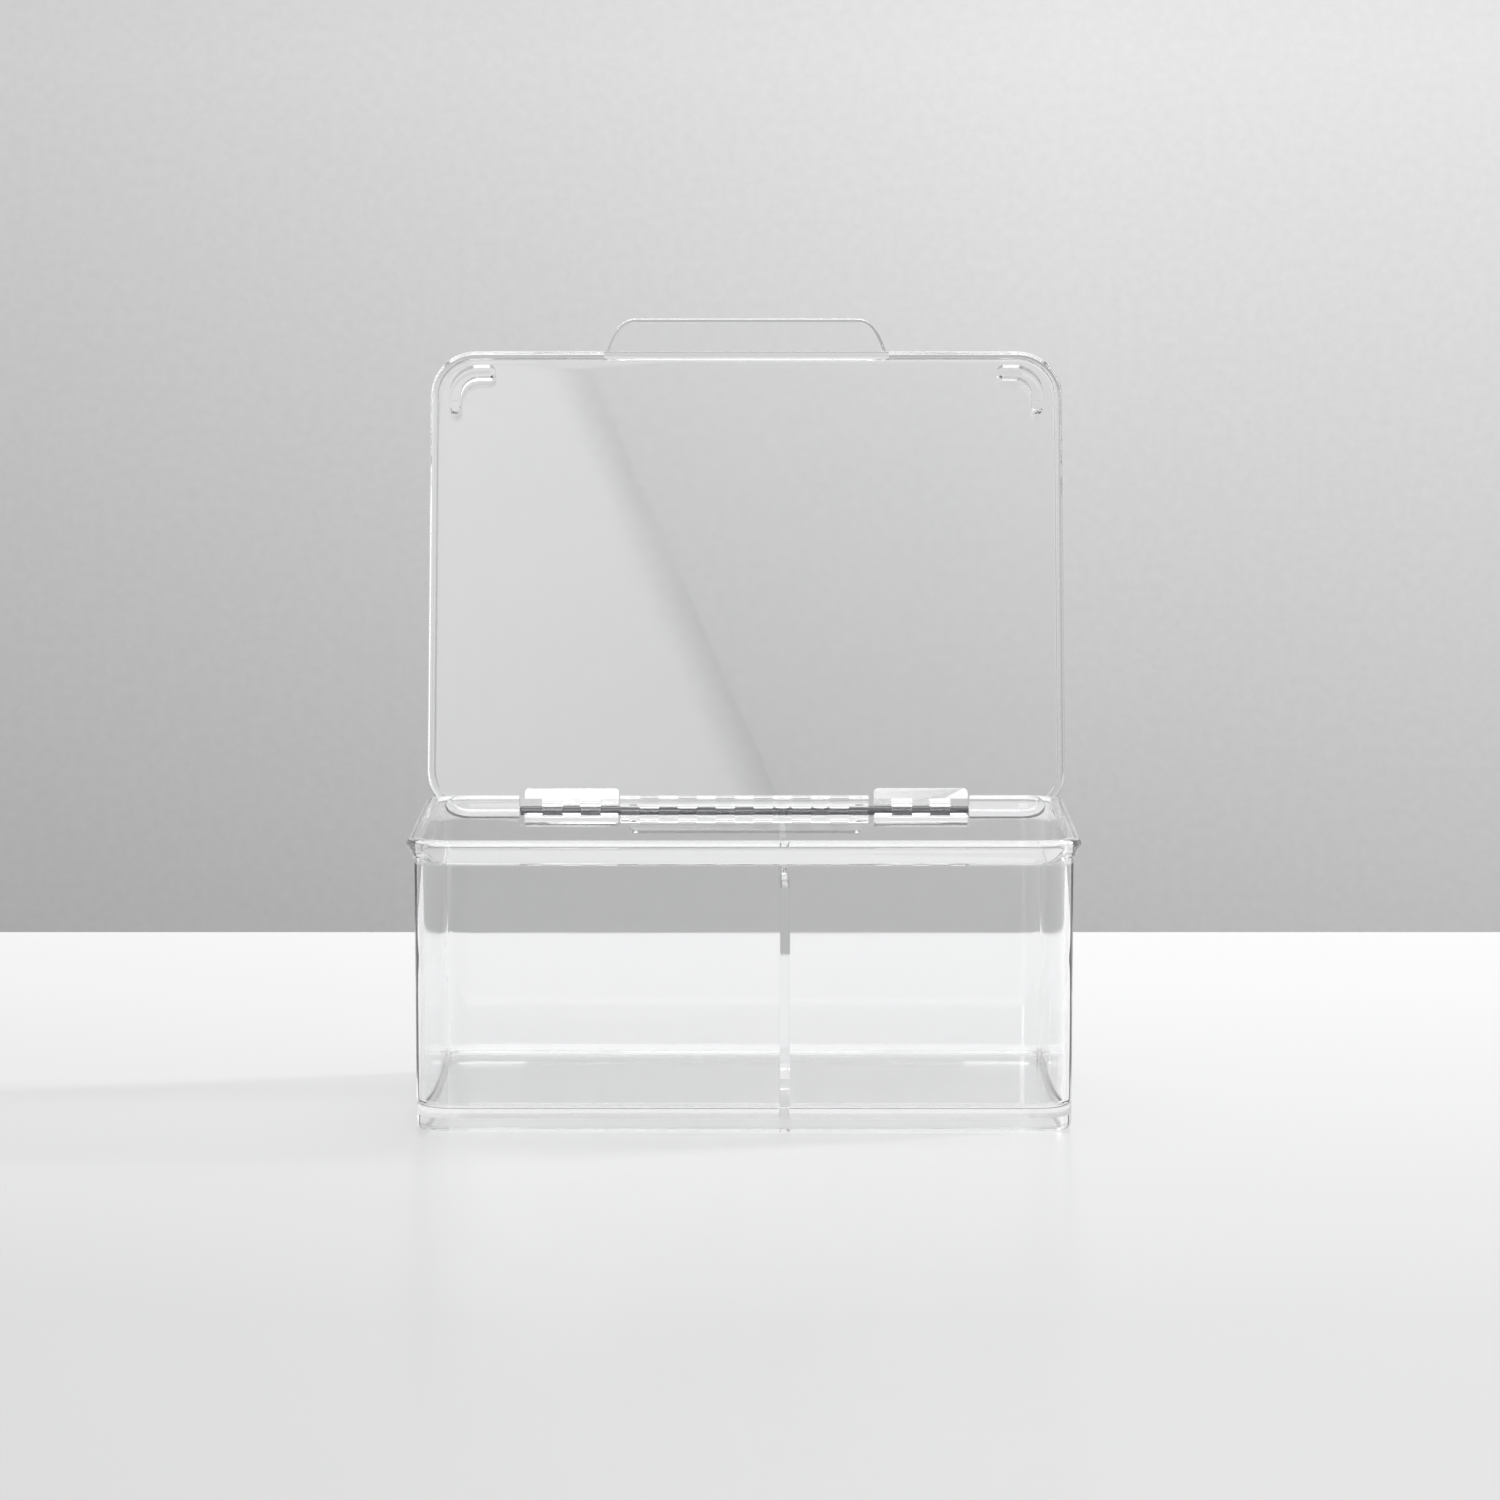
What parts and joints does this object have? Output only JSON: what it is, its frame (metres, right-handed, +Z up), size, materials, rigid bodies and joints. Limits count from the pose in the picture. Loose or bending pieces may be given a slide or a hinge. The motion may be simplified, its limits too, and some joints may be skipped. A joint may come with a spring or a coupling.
{
  "type": "hinged-lid battery storage box",
  "caption": "Clear moulded storage box with a divided tray and a hinged lid that swings on a steel pin laid through alternating half-shell knuckles.",
  "frame": {"origin": "on the table, under the middle of the tray", "axes": "+Z up, +X to the right as the finger tab's side is faced, +Y from the front to the hinge"},
  "size_m": [0.1658, 0.1707, 0.1935],
  "materials": {
    "clear": "clear, polished",
    "pin_steel": "drawn steel"
  },
  "bodies": {
    "case": {"tray": "clear", "divider": "clear", "hinge_barrel": "clear", "hinge_pin": "pin_steel"},
    "lid": {"lid": "clear", "finger_tab": "clear", "left_knuckle": "clear", "right_knuckle": "clear"}
  },
  "joints": [
    {"name": "lid_hinge", "type": "hinge", "parent": "case", "child": "lid", "pos_m": [0, 0.0603, 0.0676], "axis": [1, 0, 0], "range_deg": [0, 107]}
  ]
}
